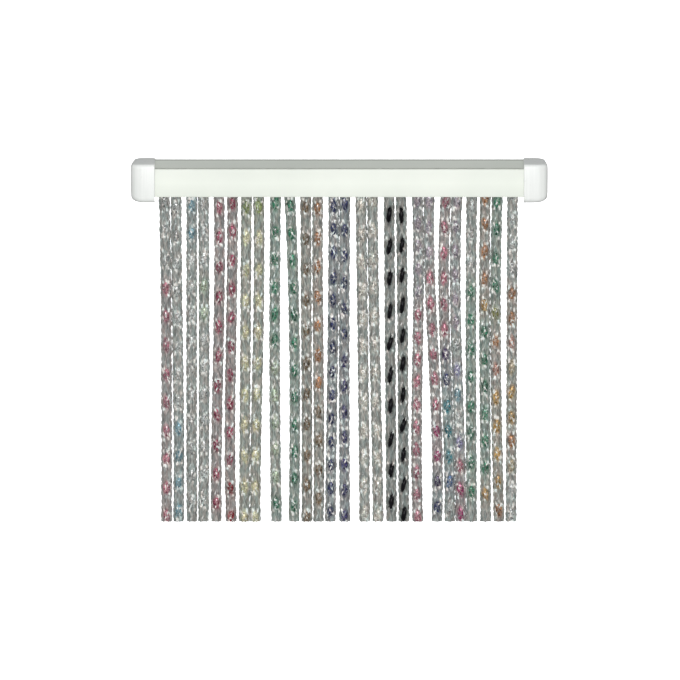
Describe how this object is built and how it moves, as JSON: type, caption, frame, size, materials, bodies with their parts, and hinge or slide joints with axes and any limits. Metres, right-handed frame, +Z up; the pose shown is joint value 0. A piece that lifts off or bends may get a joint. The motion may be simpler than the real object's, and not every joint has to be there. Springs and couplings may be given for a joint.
{
  "type": "bead curtain with rail",
  "caption": "Short bead curtain of clear braided plastic strands with coloured foil beads, hanging side by side from a white channel rail with end caps.",
  "frame": {"origin": "middle of the rail's flat back face, which goes against the wall", "axes": "+Z up, +X along the rail to the viewer's right, +Y into the wall, so that the front faces -Y"},
  "size_m": [0.415, 0.03, 0.3728],
  "materials": {
    "rail": "satin white coating with a faint green cast",
    "end_cap": "smooth white moulded plastic",
    "clear_braid": "glossy clear plastic filaments, smoke grey where they bunch",
    "foil_bead": "coloured metallic foil beads, each strand in its own colours",
    "black_bead": "opaque black, glossy"
  },
  "bodies": {
    "root": {"rail": "rail", "end_cap_left": "end_cap", "end_cap_right": "end_cap", "strand_comb": "clear_braid"}
  },
  "joints": []
}
